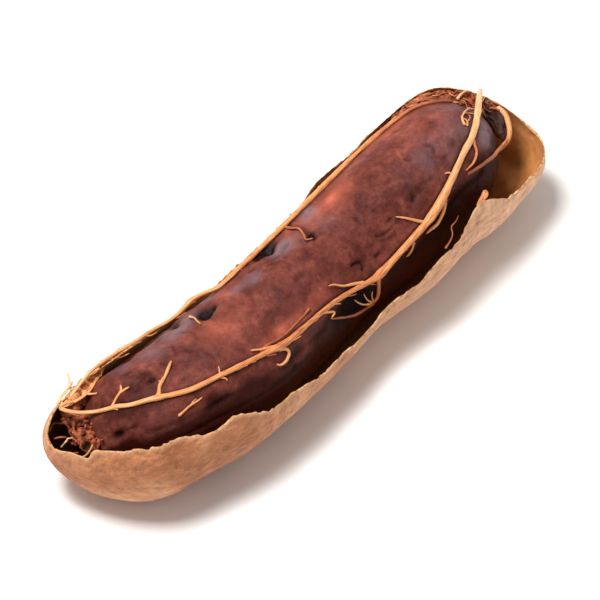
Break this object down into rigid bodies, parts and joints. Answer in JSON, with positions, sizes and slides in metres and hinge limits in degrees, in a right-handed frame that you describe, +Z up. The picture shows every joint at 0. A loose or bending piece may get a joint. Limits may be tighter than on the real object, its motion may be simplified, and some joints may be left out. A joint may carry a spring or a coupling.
{
  "type": "opened tamarind pod",
  "caption": "Opened tamarind pod lying on its back: a torn half shell holding dark sticky pulp and woody fibre strands.",
  "frame": {"origin": "under the middle of the pod, on the surface that it lies on", "axes": "+X along the pod towards its stalk end, +Y across it towards the farther torn edge, +Z up out of the opened side"},
  "size_m": [0.115, 0.0387, 0.0262],
  "materials": {
    "shell": "dry scurfy brown pod shell, matt, with a smoother brown lining",
    "pulp": "sticky dark red-brown fruit pulp with a soft sheen",
    "fibre": "orange-tan woody fibre, slightly waxy",
    "tissue": "crumbly red-brown fibrous remains"
  },
  "bodies": {
    "root": {"shell": "shell", "pulp": "pulp", "near_strand": "fibre", "far_strand": "fibre", "stalk_end_strand": "fibre", "loose_fibre": "fibre", "stalk_end_tissue": "tissue", "tip_tissue": "tissue"}
  },
  "joints": []
}
